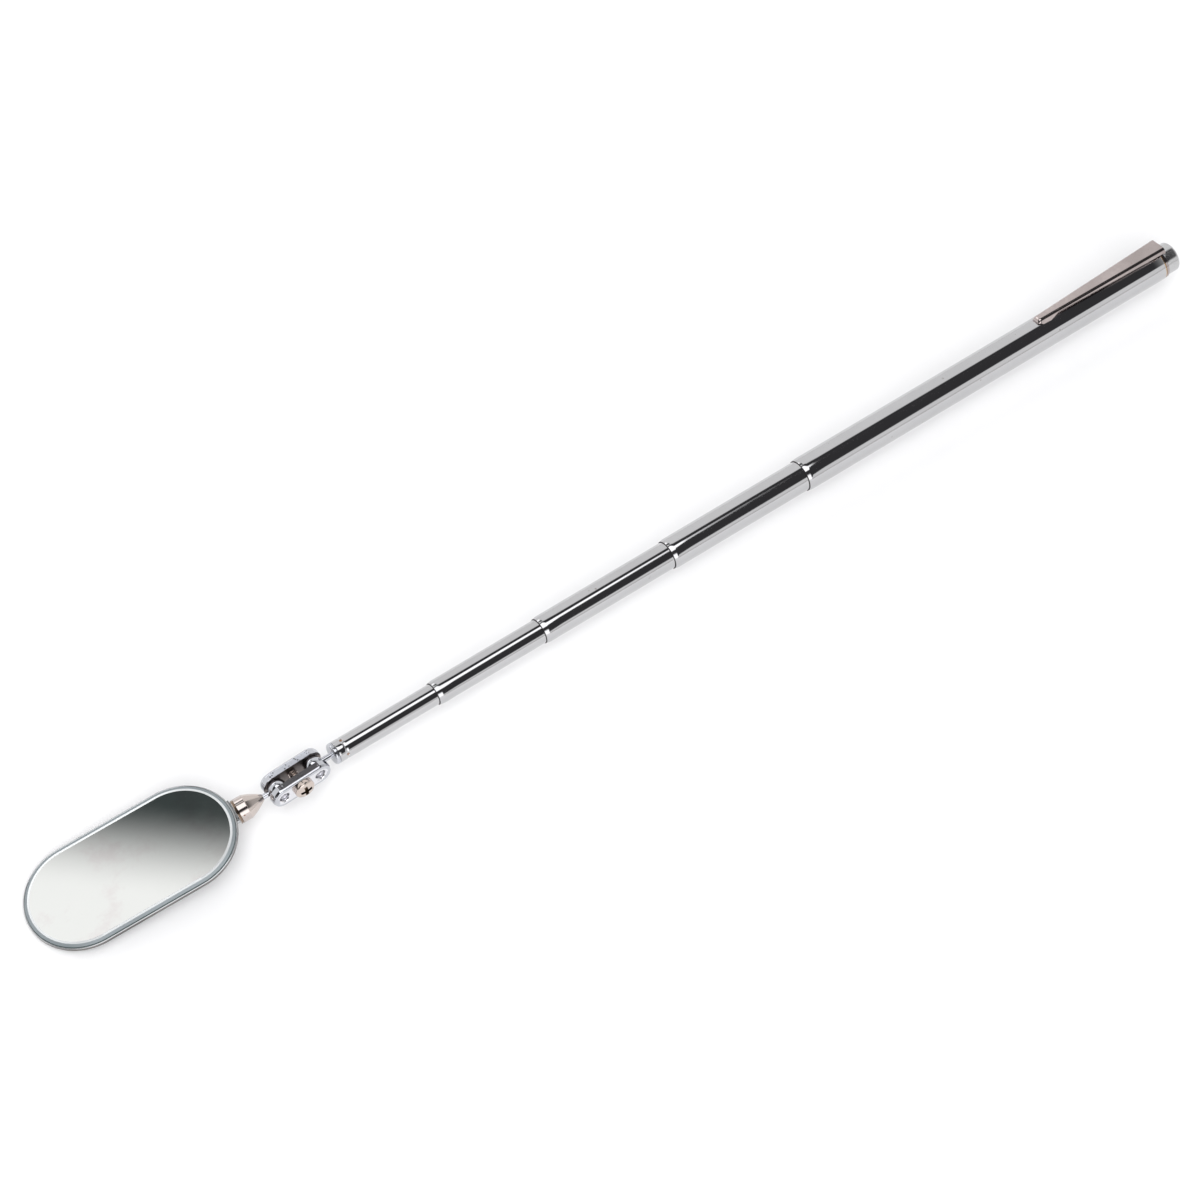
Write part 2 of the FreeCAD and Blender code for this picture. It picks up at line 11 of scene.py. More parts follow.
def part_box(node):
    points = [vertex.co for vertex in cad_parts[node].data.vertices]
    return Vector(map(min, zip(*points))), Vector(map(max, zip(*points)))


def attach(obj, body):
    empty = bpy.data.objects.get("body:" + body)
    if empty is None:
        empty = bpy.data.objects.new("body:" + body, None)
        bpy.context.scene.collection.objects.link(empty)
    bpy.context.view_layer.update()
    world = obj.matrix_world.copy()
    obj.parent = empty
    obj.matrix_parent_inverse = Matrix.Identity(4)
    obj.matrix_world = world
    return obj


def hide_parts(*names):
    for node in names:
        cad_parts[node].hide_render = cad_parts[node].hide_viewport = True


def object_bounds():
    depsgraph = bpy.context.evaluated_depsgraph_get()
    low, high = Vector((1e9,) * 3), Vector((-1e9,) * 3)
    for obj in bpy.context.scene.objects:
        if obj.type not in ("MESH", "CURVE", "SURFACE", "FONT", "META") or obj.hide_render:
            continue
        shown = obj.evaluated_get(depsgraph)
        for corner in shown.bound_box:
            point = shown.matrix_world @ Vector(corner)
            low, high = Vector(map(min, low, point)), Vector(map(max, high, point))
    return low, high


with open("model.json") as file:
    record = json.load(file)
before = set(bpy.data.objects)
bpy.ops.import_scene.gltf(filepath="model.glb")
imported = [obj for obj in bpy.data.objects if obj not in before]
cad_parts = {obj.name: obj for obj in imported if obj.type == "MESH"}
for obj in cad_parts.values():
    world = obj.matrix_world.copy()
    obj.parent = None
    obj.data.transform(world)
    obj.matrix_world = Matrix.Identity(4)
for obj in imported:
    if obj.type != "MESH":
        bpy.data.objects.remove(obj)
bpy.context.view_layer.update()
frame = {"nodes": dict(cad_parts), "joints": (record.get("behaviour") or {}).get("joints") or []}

MM = 0.001
JOINTS = {j["name"]: j for j in frame["joints"]}


# ---------------------------------------------------------------- node helpers


class Graph:
    """Short calls for building a node tree."""

    def __init__(self, tree):
        self.tree = tree
        tree.nodes.clear()

    def node(self, kind, values=(), inputs=None, **settings):
        made = self.tree.nodes.new(kind)
        for key, value in settings.items():
            setattr(made, key, value)
        for i, value in enumerate(values):
            self.feed(made.inputs[i], value)
        for key, value in (inputs or {}).items():
            self.feed(made.inputs[key], value)
        return made

    def feed(self, socket, value):
        if isinstance(value, bpy.types.NodeSocket):
            self.tree.links.new(value, socket)
        elif value is not None:
            socket.default_value = value

    def math(self, operation, *values):
        return self.node("ShaderNodeMath", values, operation=operation).outputs[0]

    def step(self, value, low, high, start=0.0, end=1.0):
        """A smooth step of value from low to high, mapped to start and end."""
        inputs = (value, low, high, start, end)
        return self.node("ShaderNodeMapRange", inputs, interpolation_type="SMOOTHSTEP").outputs[0]

    def line(self, value, low, high, start, end):
        """A straight clamped ramp."""
        return self.node("ShaderNodeMapRange", (value, low, high, start, end)).outputs[0]

    def mix(self, factor, a, b):
        made = self.node("ShaderNodeMix", data_type="RGBA")
        self.feed(made.inputs[0], factor)
        self.feed(made.inputs[6], a)
        self.feed(made.inputs[7], b)
        return made.outputs[2]

    def noise(self, vector, scale, detail=3.0, rough=0.5):
        made = self.node("ShaderNodeTexNoise", inputs={"Scale": scale, "Detail": detail, "Roughness": rough})
        self.feed(made.inputs["Vector"], vector)
        return made.outputs[0]

    def stretched(self, vector, scale):
        return self.node("ShaderNodeMapping", inputs={"Vector": vector, "Scale": scale}).outputs[0]


def rgb(r, g, b):
    return (r, g, b, 1.0)


BUMP_DEPTH = 0.00003


def material(name, base, roughness, metallic=1.0, variation=0.06, smudge=0.03, grain=None, grain_bump=0.0,
             specks=0.0, speck_scale=1400.0, speck_size=0.22, speck_colour=(0.05, 0.04, 0.035), bump=0.0,
             bump_scale=2500.0, film=None):
    """A worn surface: colour drift, smudged roughness, drawing lines, and small pits or dust."""
    made = bpy.data.materials.new(name)
    made.use_nodes = True
    g = Graph(made.node_tree)
    where = g.node("ShaderNodeTexCoord").outputs["Object"]
    drift = g.noise(where, 90.0, 4.0)
    fine = g.noise(where, 900.0, 3.0)
    light = rgb(*(min(1.0, c * (1 + variation)) for c in base))
    dark = rgb(*(c * (1 - variation) for c in base))
    colour = g.mix(g.line(drift, 0.3, 0.7, 0.0, 1.0), dark, light)
    colour = g.mix(g.line(fine, 0.35, 0.75, 0.0, 0.35), colour, dark)
    if film:
        colour = g.mix(g.step(g.noise(where, 75.0, 5.0, 0.65), 0.50, 0.66, 0.0, 0.6), colour, rgb(*film))
    rough = g.line(g.noise(where, 160.0, 5.0, 0.6), 0.35, 0.75, roughness, roughness + smudge)
    height = g.math("MULTIPLY", g.noise(where, bump_scale, 4.0), bump)
    if grain:
        lines = g.noise(g.stretched(where, grain), 1.0, 2.0)
        height = g.math("ADD", height, g.math("MULTIPLY", lines, grain_bump))
        rough = g.math("ADD", rough, g.line(lines, 0.3, 0.8, 0.0, smudge * 0.6))
    if specks:
        voronoi = g.node("ShaderNodeTexVoronoi", inputs={"Vector": where, "Scale": speck_scale})
        cells = voronoi.outputs["Distance"]
        patch = g.noise(where, 500.0, 3.0, 0.6)
        inside = g.step(cells, speck_size * 0.45, speck_size, 1.0, 0.0)
        spot = g.math("MULTIPLY", inside, g.step(patch, 0.62 - specks, 0.74 - specks))
        colour = g.mix(spot, colour, rgb(*speck_colour))
        rough = g.math("ADD", rough, g.math("MULTIPLY", spot, 0.4))
        height = g.math("SUBTRACT", height, g.math("MULTIPLY", spot, 0.3))
    normal = g.node("ShaderNodeBump", inputs={"Strength": 0.25, "Distance": BUMP_DEPTH, "Height": height})
    shader = g.node("ShaderNodeBsdfPrincipled", inputs={
        "Base Color": colour, "Roughness": rough, "Normal": normal.outputs[0], "Metallic": metallic,
    })
    out = g.node("ShaderNodeOutputMaterial")
    made.node_tree.links.new(shader.outputs[0], out.inputs[0])
    return made


# ---------------------------------------------------------------- mesh helpers


def finish_mesh(mesh, angle=32.0):
    mesh.shade_smooth()
    mesh.set_sharp_from_angle(angle=math.radians(angle))


def add_object(name, mesh, materials, place=None):
    made = bpy.data.objects.new(name, mesh)
    bpy.context.scene.collection.objects.link(made)
    for m in materials:
        mesh.materials.append(m)
    if place is not None:
        mesh.transform(place)
    return made


def piece(name, mesh, materials, body, nodes=(), place=None, angle=32.0):
    """A finished piece of the object: placed, riding on its body, and standing for its CAD nodes."""
    finish_mesh(mesh, angle)
    made = add_object(name, mesh, materials, place)
    weigh_normals(made)
    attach(made, body)
    if nodes:
        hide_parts(*nodes)
    return made


def weigh_normals(obj):
    made = obj.modifiers.new("weighted", "WEIGHTED_NORMAL")
    made.mode = "FACE_AREA"
    made.weight = 100
    made.keep_sharp = True


def arc(cx, cr, radius, start, end, steps=8):
    """Points of an arc in the (x, r) half plane; angles in degrees, 0 along +x and 90 outwards."""
    points = []
    for i in range(steps + 1):
        a = math.radians(start + (end - start) * i / steps)
        points.append((cx + radius * math.cos(a), cr + radius * math.sin(a)))
    return points


def lathe(name, profile, segments=160, slots=None, bend=None):
    """A closed (x, r) loop in millimetres turned about the X axis; slots has a material for each side."""
    bm = bmesh.new()
    rings = []
    for x, r in profile:
        if r < 1e-6:
            rings.append([bm.verts.new((x * MM, 0, 0))])
            continue
        ring = []
        for k in range(segments):
            a = 2 * math.pi * k / segments
            rr = r - (bend(x, a) if bend else 0.0)
            ring.append(bm.verts.new((x * MM, rr * math.sin(a) * MM, rr * math.cos(a) * MM)))
        rings.append(ring)
    for i, ring in enumerate(rings):
        other = rings[(i + 1) % len(rings)]
        if len(ring) == 1 and len(other) == 1:
            continue
        for k in range(segments):
            n = (k + 1) % segments
            if len(ring) == 1:
                face = bm.faces.new((ring[0], other[k], other[n]))
            elif len(other) == 1:
                face = bm.faces.new((ring[k], other[0], ring[n]))
            else:
                face = bm.faces.new((ring[k], other[k], other[n], ring[n]))
            face.material_index = slots[i] if slots else 0
    bmesh.ops.recalc_face_normals(bm, faces=bm.faces)
    mesh = bpy.data.meshes.new(name)
    bm.to_mesh(mesh)
    bm.free()
    return mesh


def cad_copy(node):
    """A fresh mesh with the same shape as a CAD node, welded and with its flat faces joined."""
    source = frame["nodes"][node].data
    bm = bmesh.new()
    bm.from_mesh(source)
    bmesh.ops.remove_doubles(bm, verts=bm.verts, dist=1e-7)
    bmesh.ops.dissolve_limit(
        bm, angle_limit=math.radians(0.6), use_dissolve_boundaries=False, verts=bm.verts, edges=bm.edges
    )
    mesh = bpy.data.meshes.new(node + "_skin")
    bm.to_mesh(mesh)
    bm.free()
    return mesh


def soften(obj, width, angle=38.0):
    made = obj.modifiers.new("edges", "BEVEL")
    made.width = width * MM
    made.segments = 2
    made.limit_method = "ANGLE"
    made.angle_limit = math.radians(angle)
    made.miter_outer = "MITER_ARC"
    obj.modifiers.move(len(obj.modifiers) - 1, 0)


def cad_piece(node, body, finish, width):
    """A CAD shape with softened edges and its own finish."""
    soften(piece(node + "_skin", cad_copy(node), [finish], body, (node,)), width)


def slot_outline(length, width, centre, inset):
    """Points round a slot outline lying in XY, inset from its own edge, in millimetres."""
    radius = width / 2 - inset
    half = (length - width) / 2
    points = []
    for sign in (1, -1):
        for i in range(73):
            a = math.radians(-90 + 2.5 * i)
            points.append((centre + sign * (half + radius * math.cos(a)), sign * radius * math.sin(a)))
        for i in range(1, 10):
            points.append((centre + sign * half * (1 - 0.2 * i), sign * radius))
    return points


def slot_solid(name, profile, length, width, centre, slots=None, top_slot=0, bottom_slot=0):
    """Sweeps an (inset, z) profile round a slot outline and caps it. slots gives a material for each step."""
    bm = bmesh.new()
    rings = []
    for inset, z in profile:
        outline = slot_outline(length, width, centre, inset)
        rings.append([bm.verts.new((x * MM, y * MM, z * MM)) for x, y in outline])
    count = len(rings[0])
    for i in range(len(rings) - 1):
        a, b = rings[i], rings[i + 1]
        for k in range(count):
            n = (k + 1) % count
            bm.faces.new((a[k], a[n], b[n], b[k])).material_index = slots[i] if slots else 0
    bm.faces.new(rings[0]).material_index = bottom_slot
    bm.faces.new(rings[-1]).material_index = top_slot
    bmesh.ops.recalc_face_normals(bm, faces=bm.faces)
    mesh = bpy.data.meshes.new(name)
    bm.to_mesh(mesh)
    bm.free()
    return mesh


def prism_mesh(name, points, start, end):
    """A prism along x of a (y, z) outline in millimetres."""
    bm = bmesh.new()
    rings = [[bm.verts.new((x * MM, y * MM, z * MM)) for y, z in points] for x in (start, end)]
    bm.faces.new(rings[0])
    bm.faces.new(rings[1])
    for k in range(len(points)):
        n = (k + 1) % len(points)
        bm.faces.new((rings[0][k], rings[0][n], rings[1][n], rings[1][k]))
    bmesh.ops.recalc_face_normals(bm, faces=bm.faces)
    mesh = bpy.data.meshes.new(name)
    bm.to_mesh(mesh)
    bm.free()
    return mesh


def carve(mesh, steps):
    """Applies (operation, mesh) steps to a closed mesh and returns the result."""
    blank = add_object("blank", mesh, [])
    tools = []
    for operation, other in steps:
        tool = add_object("tool", other, [])
        made = blank.modifiers.new("step", "BOOLEAN")
        made.operation, made.object, made.solver = operation, tool, "EXACT"
        tools.append(tool)
    bpy.context.view_layer.update()
    result = bpy.data.meshes.new_from_object(blank.evaluated_get(bpy.context.evaluated_depsgraph_get()))
    for done in [blank] + tools:
        bpy.data.objects.remove(done, do_unlink=True)
    result.materials.clear()
    return result


# ---------------------------------------------------------------- materials

chrome = material("chrome_tube", (0.532, 0.530, 0.540), 0.04, variation=0.03, grain=(25.0, 2600.0, 2600.0),
                  grain_bump=0.12, specks=0.02, speck_scale=700.0, speck_colour=(0.16, 0.13, 0.11))
chrome_joint = material("chrome_joint", (0.56, 0.57, 0.605), 0.06, variation=0.05, specks=0.05, bump=0.25,
                        bump_scale=1800.0)
sheared = material("sheared_edge", (0.70, 0.72, 0.78), 0.30, variation=0.22, smudge=0.2, specks=0.16,
                   speck_scale=1900.0, speck_size=0.50, speck_colour=(0.10, 0.10, 0.12), bump=1.6,
                   bump_scale=3200.0)
# a lighter, rougher metal: painted highlight on the ball caps seen through the plate holes and on the dish
# walls round them
hole_highlight = material("hole_painted_highlight", (0.80, 0.80, 0.83), 0.20, variation=0.06, smudge=0.05, bump=0.3)
# painted shade: a dark base with light flecks for the near plate's edge walls
flecked_edge_painted_shade = material("flecked_edge_painted_shade", (0.17, 0.165, 0.175), 0.20, variation=0.30, smudge=0.2, specks=0.12,
                     speck_scale=1900.0, speck_size=0.45, speck_colour=(0.62, 0.62, 0.66), bump=1.2)
nickel = material("nickel", (0.56, 0.50, 0.475), 0.09, variation=0.05, grain=(60.0, 3000.0, 3000.0),
                  grain_bump=0.2, specks=0.02, speck_scale=900.0, speck_colour=(0.2, 0.09, 0.04))
screw_metal = material("screw_nickel", (0.68, 0.59, 0.54), 0.06, variation=0.12, bump=0.3, specks=0.05,
                       speck_colour=(0.16, 0.08, 0.05))
# painted shade: dark brown for the screw's cross recess and for the groove round the neck's base
recess_painted_shade = material("screw_recess_painted_shade", (0.26, 0.19, 0.14), 0.20, variation=0.2, bump=0.5)
satin = material("satin_nickel", (0.60, 0.535, 0.50), 0.16, variation=0.06, grain=(60.0, 3000.0, 3000.0),
                 grain_bump=0.2, specks=0.02, speck_scale=900.0, speck_colour=(0.2, 0.09, 0.04))
cap_chrome = material("cap_chrome", (0.56, 0.56, 0.565), 0.15, variation=0.05, smudge=0.06, specks=0.03,
                      speck_scale=900.0, bump=0.2, speck_colour=(0.16, 0.13, 0.11))
brass = material("brass", (0.62, 0.42, 0.22), 0.18, variation=0.1, grain=(3000.0, 60.0, 60.0), grain_bump=0.2)
bronze = material("bronze", (0.42, 0.26, 0.13), 0.3, variation=0.15, bump=0.4)
steel = material("plain_steel", (0.42, 0.41, 0.40), 0.32, variation=0.12, bump=0.6)
felt = material("felt", (0.03, 0.03, 0.032), 0.95, metallic=0.0, variation=0.5, bump=2.5, bump_scale=5200.0)
plating = material("frame_plating", (0.50, 0.51, 0.52), 0.13, variation=0.08, specks=0.05, speck_scale=1700.0,
                   bump=0.5, speck_colour=(0.12, 0.10, 0.10))
clip_nickel = material("clip_nickel", (0.445, 0.39, 0.38), 0.07, variation=0.16, smudge=0.05, specks=0.03,
                       speck_scale=900.0, bump=0.05, speck_colour=(0.22, 0.08, 0.04))
frame_edge = material("frame_edge", (0.22, 0.21, 0.205), 0.42, variation=0.30, smudge=0.2, specks=0.10,
                      speck_scale=1600.0, bump=1.2)
# painted shade on the plates' inner faces, in the gap between them
seat_shade = material("inside_painted_shade", (0.17, 0.15, 0.145), 0.22, variation=0.25, smudge=0.15, bump=0.6)
# painted shade: a dark band on the front edge of each tube's mouth, where the inner tube goes in
mouth_shade_paint = material("mouth_painted_shade", (0.09, 0.085, 0.085), 0.35, variation=0.3, bump=0.6)
copper = material("punch_mark", (0.36, 0.25, 0.19), 0.22, variation=0.20, bump=0.8)
silver = material("mirror_face", (0.87, 0.88, 0.86), 0.012, variation=0.006, smudge=0.02,
                  film=(0.80, 0.75, 0.75))
bevel_inner = material("mirror_bevel_inner", (0.66, 0.68, 0.69), 0.14, metallic=0.35, variation=0.04,
                       smudge=0.08)
bevel_glass = material("mirror_bevel", (0.24, 0.27, 0.285), 0.36, metallic=0.35, variation=0.08,
                       smudge=0.08, bump=0.5)
edge_glass = material("mirror_edge", (0.12, 0.16, 0.165), 0.25, metallic=0.2, variation=0.15, bump=0.8)

# ---------------------------------------------------------------- telescoping shaft

RADIUS = {1: 3.70, 2: 3.35, 3: 3.00, 4: 2.65, 5: 2.30}
THINNEST = 5
WALL = 0.22
LIP_LENGTH = 1.25
LIP_EDGE = 0.03
RUNNING_FIT = 0.05


def x_range(node):
    low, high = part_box(node)
    return low.x / MM, high.x / MM


def mouth(front, radius, mouth_radius):
    """The rolled-in mouth of a tube: outer side going back, and inner side coming forward."""
    shoulder = mouth_radius + 0.10
    rise = radius - shoulder
    outer = [(front + LIP_EDGE, mouth_radius + 0.02), (front, mouth_radius + 0.05)]
    outer += [(front, shoulder - LIP_EDGE), (front + LIP_EDGE, shoulder)]
    for i in range(1, 13):
        t = i / 12
        height = shoulder + rise * (1.75 * t - 0.75 * t * t)
        outer.append((front + LIP_EDGE + (LIP_LENGTH - LIP_EDGE) * t, height))
    inner = [(front + LIP_LENGTH + 0.35, radius - WALL), (front + 0.5, mouth_radius)]
    inner.append((front + 0.1, mouth_radius))
    return outer, inner


def along(start, end, step=3.0):
    """Evenly spaced x positions strictly between start and end."""
    count = max(1, int(abs(end - start) / step))
    return [start + (end - start) * i / count for i in range(1, count)]


def crimp_depth(front):
    """Depth of the punch marks and of the shallow ring groove near the front of the thinnest tube."""
    centre = front + 1.8
    punch_radius, punch_depth = 0.44, 0.20
    groove_width, groove_depth = 0.22, 0.07

    def depth(x, a):
        deepest = groove_depth * math.exp(-(((x - centre) / groove_width) ** 2))
        for i in range(4):
            turn = a - math.radians(16.0 + 90.0 * i)
            turn = (turn + math.pi) % (2 * math.pi) - math.pi
            away = math.hypot(x - centre, turn * RADIUS[THINNEST])
            if away < punch_radius:
                deepest = max(deepest, punch_depth * (1 - (away / punch_radius) ** 2) ** 0.7)
        return deepest

    return depth


def tube(number, node, body):
    front, rear = x_range(node)
    radius = RADIUS[number]
    bend = None
    segments = 176
    if number < THINNEST:
        outer, inner = mouth(front, radius, RADIUS[number + 1] + RUNNING_FIT)
    else:
        outer = arc(front + 0.18, radius - 0.18, 0.18, 180, 90, 6)
        outer += [(front + 0.9 + 0.05 * i, radius) for i in range(37)]
        inner = [(front, radius - WALL)]
        bend = crimp_depth(front)
        segments = 288
    last = outer[-1][0]
    if number == 1:
        back = [(x, radius) for x in along(last, rear - 0.25)]
        back += arc(rear - 0.18, radius - 0.18, 0.18, 90, 0, 6) + [(rear, radius - WALL)]
    else:
        # the rear end is drawn in to hold the spring sleeve
        seat_front, seat_rear, seat = rear - 5.05, rear - 0.75, radius - 0.21
        before, after, bore = seat_front - 0.15, seat_rear + 0.15, radius - WALL
        back = [(x, radius) for x in along(last, before)]
        back += [(before, radius), (seat_front, seat), (seat_rear, seat), (after, radius)]
        back += [(rear - 0.05, radius), (rear, radius - 0.05), (rear, bore), (after, bore)]
        back += [(seat_rear, seat - WALL), (seat_front, seat - WALL), (before, bore)]
    mesh = lathe(node, outer + back + inner, segments, bend=bend)
    for poly in mesh.polygons:
        c = poly.center / MM
        r = math.hypot(c.y, c.z)
        if bend:
            punched = c.x > front + 1.3 and radius - WALL + 0.005 < r < radius - 0.12
            poly.material_index = 1 if punched else 0
        else:
            # the front edge of the mouth gets the painted shade
            poly.material_index = 1 if c.x < front + 0.09 else 0
    return piece(node + "_skin", mesh, [chrome, copper if bend else mouth_shade_paint], body, (node,))


tube(1, "barrel_tube", "barrel")
for number in (2, 3, 4, 5):
    tube(number, "tube_%d" % number, "tube_%d_section" % number)
for number in (2, 3, 4, 5):
    node = frame["nodes"]["sleeve_%d" % number]
    node.data.materials.clear()
    node.data.materials.append(bronze)

# ---------------------------------------------------------------- rear of the barrel

CAP_STUD = 2.50
BUSH_BODY, BUSH_FLANGE = 3.47, 3.58

bush_front, bush_rear = x_range("rear_bush")
flange = bush_rear - 0.25
bush = [(bush_front, CAP_STUD + 0.01), (bush_front, BUSH_BODY - 0.11), (bush_front + 0.1, BUSH_BODY)]
bush += [(flange, BUSH_BODY), (flange, BUSH_FLANGE - 0.06), (flange + 0.06, BUSH_FLANGE)]
bush += [(bush_rear - 0.06, BUSH_FLANGE), (bush_rear, BUSH_FLANGE - 0.06), (bush_rear, CAP_STUD + 0.01)]
piece("rear_bush_skin", lathe("rear_bush", bush, 128), [brass], "barrel", ("rear_bush",))

CLIP_SHEET, CLIP_BEND, SPLAY = 0.42, 0.92, 0.45
RING_PLATE = 0.60
TIP = x_range("pocket_clip")[0]
RING = bush_rear
REAR = RING + RING_PLATE

THREAD_ROOT, THREAD_HALF_PITCH = 2.38, 0.35
CAP_RADIUS, CAP_DOME = 3.35, 0.60
cap_front, cap_rear = x_range("end_cap")
cap = [(cap_front, 0.0), (cap_front, CAP_STUD - 0.3), (cap_front + 0.3, CAP_STUD)]
cap += [(REAR - THREAD_HALF_PITCH * i, CAP_STUD if i % 2 else THREAD_ROOT) for i in range(13, 0, -1)]
cap += [(REAR, THREAD_ROOT), (REAR, CAP_RADIUS - 0.15)] + arc(REAR + 0.12, CAP_RADIUS - 0.12, 0.12, 180, 90, 5)
cap += [(x, CAP_RADIUS) for x in along(REAR + 0.12, cap_rear - CAP_DOME, 0.8)]
cap += arc(cap_rear - CAP_DOME, CAP_RADIUS - CAP_DOME, CAP_DOME, 90, 0, 14) + [(cap_rear, 2.0), (cap_rear, 0.0)]
cap_mesh = lathe("end_cap", cap, 160)
piece("end_cap_skin", cap_mesh, [cap_chrome], "barrel", ("end_cap",), angle=40)

# ---------------------------------------------------------------- pocket clip

TIP_TOP, REAR_TOP = 4.65, 5.35
TIP_HALF, REAR_HALF = 0.85, 1.98
LOBE_START, LOBE_DEPTH = 20.6, 0.55


def from_tip(x, tip_value, rear_value):
    return tip_value + (x - TIP) / (REAR - TIP) * (rear_value - tip_value)


def smooth_points(points, steps):
    """A Catmull-Rom curve through the points."""
    made = []
    last = len(points) - 1
    for i in range(last):
        p0, p1, p2, p3 = points[max(i - 1, 0)], points[i], points[i + 1], points[min(i + 2, last)]
        for k in range(steps):
            t = k / steps
            made.append(tuple(
                0.5 * (2 * b + t * (c - a + t * (2 * a - 5 * b + 4 * c - d + t * (3 * b - a - 3 * c + d))))
                for a, b, c, d in zip(p0, p1, p2, p3)
            ))
    return made + [points[last]]


lobe_top = from_tip(LOBE_START, TIP_TOP, REAR_TOP) - LOBE_DEPTH
lobe_middle = (LOBE_START + TIP) / 2
lobe = smooth_points([
    (TIP + 0.5, 3.85), (lobe_middle - 1.5, 3.44), (lobe_middle, 3.32), (LOBE_START - 1.1, lobe_top - 0.40),
    (LOBE_START, lobe_top),
], 8)


def flange_bottom(x):
    if x <= lobe[0][0]:
        return lobe[0][1]
    for (x0, z0), (x1, z1) in zip(lobe, lobe[1:]):
        if x <= x1:
            return z0 + (x - x0) / (x1 - x0) * (z1 - z0)
    rear_low = 4.30
    return min(rear_low, lobe_top + (x - LOBE_START) / (RING - 0.6 - LOBE_START) * (rear_low - lobe_top))


def half_section(top, half, bottom, bend, steps):
    """One side of the channel's section, from the middle of the top to the bottom of the flange."""
    slope = math.atan(SPLAY)
    turn = math.pi / 2 - slope
    reach = bend * math.tan(turn / 2)
    points = [(0.0, top), ((half - reach) * 0.5, top)]
    for i in range(steps + 1):
        a = turn * i / steps
        points.append((half - reach + bend * math.sin(a), top - bend * (1 - math.cos(a))))
    y, z = points[-1]
    for i in range(1, 4):
        level = z + (bottom - z) * i / 3
        points.append((y + (z - level) * SPLAY, level))
    return points


def clip_mesh():
    """The folded channel, with a rear wall that turns down into the ring under the cap."""
    stations = [TIP + CLIP_BEND * (1 - math.cos(math.radians(9.0 * i))) for i in range(11)]
    stations += [TIP + CLIP_SHEET - 0.01, TIP + CLIP_SHEET + 0.01]
    stations += [x for x, z in lobe] + along(LOBE_START, RING + 0.2, 1.2) + [RING + 0.2]
    stations = sorted(set(round(x, 4) for x in stations))
    bm = bmesh.new()
    rings = []
    for x in stations:
        nose = min(CLIP_BEND, max(0.0, TIP + CLIP_BEND - x))
        drop = CLIP_BEND - math.sqrt(CLIP_BEND ** 2 - nose ** 2)
        sheet_top = from_tip(x, TIP_TOP, REAR_TOP)
        sheet_half = from_tip(x, TIP_HALF, REAR_HALF)
        top = sheet_top - drop
        half = sheet_half + (SPLAY - 0.35) * drop
        bottom = min(flange_bottom(x), top - 0.04)
        outer = half_section(top, half, bottom, min(CLIP_BEND, max(0.02, (top - bottom) * 1.65)), 16)
        hollow = x > TIP + CLIP_SHEET
        if hollow:
            inner_half = sheet_half - CLIP_SHEET * 0.80
            inner = half_section(sheet_top - CLIP_SHEET, inner_half, bottom, CLIP_BEND - CLIP_SHEET, 16)
        else:
            edge = max(y for y, z in outer) - CLIP_SHEET
            inner = [(edge * i / (len(outer) - 1), bottom) for i in range(len(outer))]
        right = outer + inner[::-1][:-1]
        loop = right + [(0.0, inner[0][1])] + [(-y, z) for y, z in right[::-1][:-1]]
        rings.append([bm.verts.new((x * MM, y * MM, z * MM)) for y, z in loop])
    for a, b in zip(rings, rings[1:]):
        for k in range(len(a)):
            n = (k + 1) % len(a)
            bm.faces.new((a[k], a[n], b[n], b[k]))
    bm.faces.new(rings[0])
    bm.faces.new(rings[-1])
    bmesh.ops.recalc_face_normals(bm, faces=bm.faces)
    arm = bpy.data.meshes.new("clip_arm")
    bm.to_mesh(arm)
    bm.free()
    return carve(arm, [("UNION", clip_wall())] + [("DIFFERENCE", cutter) for cutter in clip_cutters()])


def clip_wall():
    """The rear wall with its ring: straight shoulders on top and a round below."""
    ring_radius, ring_half = 3.6, 1.6
    shoulder = half_section(REAR_TOP - 0.01, REAR_HALF, 4.2, CLIP_BEND, 16)
    side = shoulder[1:] + [(2.1, 4.2), (ring_half, math.sqrt(ring_radius ** 2 - ring_half ** 2))]
    start = math.asin(ring_half / ring_radius)
    sweep = [start + i * (2 * math.pi - 2 * start) / 96 for i in range(1, 96)]
    ring = [(ring_radius * math.sin(a), ring_radius * math.cos(a)) for a in sweep]
    outline = side + ring + [(-y, z) for y, z in side[::-1]]
    return prism_mesh("clip_wall", outline, RING + 0.01, REAR)


def clip_cutters():
    """Room for the cap's stud and for the barrel."""
    stud, barrel = CAP_STUD + 0.03, RADIUS[1] + 0.03
    bore = lathe("bore", [(RING - 1, 0.0), (RING - 1, stud), (REAR + 1, stud), (REAR + 1, 0.0)], 96)
    front, rear = TIP - 2, RING + 0.005
    room = lathe("room", [(front, 0.0), (front, barrel), (rear, barrel), (rear, 0.0)], 160)
    return bore, room


clip_roll = Matrix.Rotation(math.radians(-13.3), 4, "X")
clip = clip_mesh()
clip_piece = piece("pocket_clip_skin", clip, [clip_nickel], "barrel", ("pocket_clip",), clip_roll, 40)
soften(clip_piece, 0.05, 50.0)

# ---------------------------------------------------------------- plug, studs and balls

BALL_RADIUS, ROD_RADIUS = 2.0, 0.60
PLUG_BORE, PLUG_SEAT = ROD_RADIUS + 0.01, 2.07

